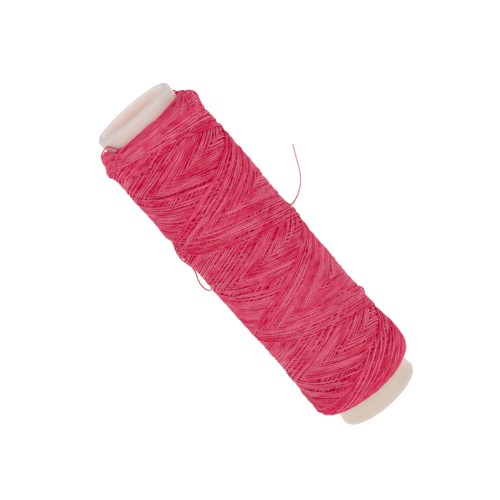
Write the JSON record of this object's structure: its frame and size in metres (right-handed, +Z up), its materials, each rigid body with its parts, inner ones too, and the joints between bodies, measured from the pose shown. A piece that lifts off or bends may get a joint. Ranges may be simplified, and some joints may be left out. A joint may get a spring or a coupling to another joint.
{
  "type": "fishing line spool",
  "caption": "Flangeless moulded tube cross-wound with thin pink line, with raised turns at both ends, loose loops and a free line end.",
  "frame": {"origin": "centre of the tube's lower end face, on the surface that it stands on", "axes": "+Z up along the tube's axis; -Y faces the pictured side; the line's free tail is on +X"},
  "size_m": [0.0289, 0.0209, 0.0698],
  "materials": {
    "tube_plastic": "milky satin",
    "line": "glossy"
  },
  "bodies": {
    "root": {"core_tube": "tube_plastic", "wound_line": "line", "lower_turns": "line", "upper_turns": "line", "rising_course_1": "line", "rising_course_2": "line", "rising_course_3": "line", "rising_course_4": "line", "falling_course_1": "line", "falling_course_2": "line", "falling_course_3": "line", "falling_course_4": "line", "eye_loop": "line", "shoulder_loop": "line", "side_loop_upper": "line", "side_loop_lower": "line", "free_end": "line"}
  },
  "joints": []
}
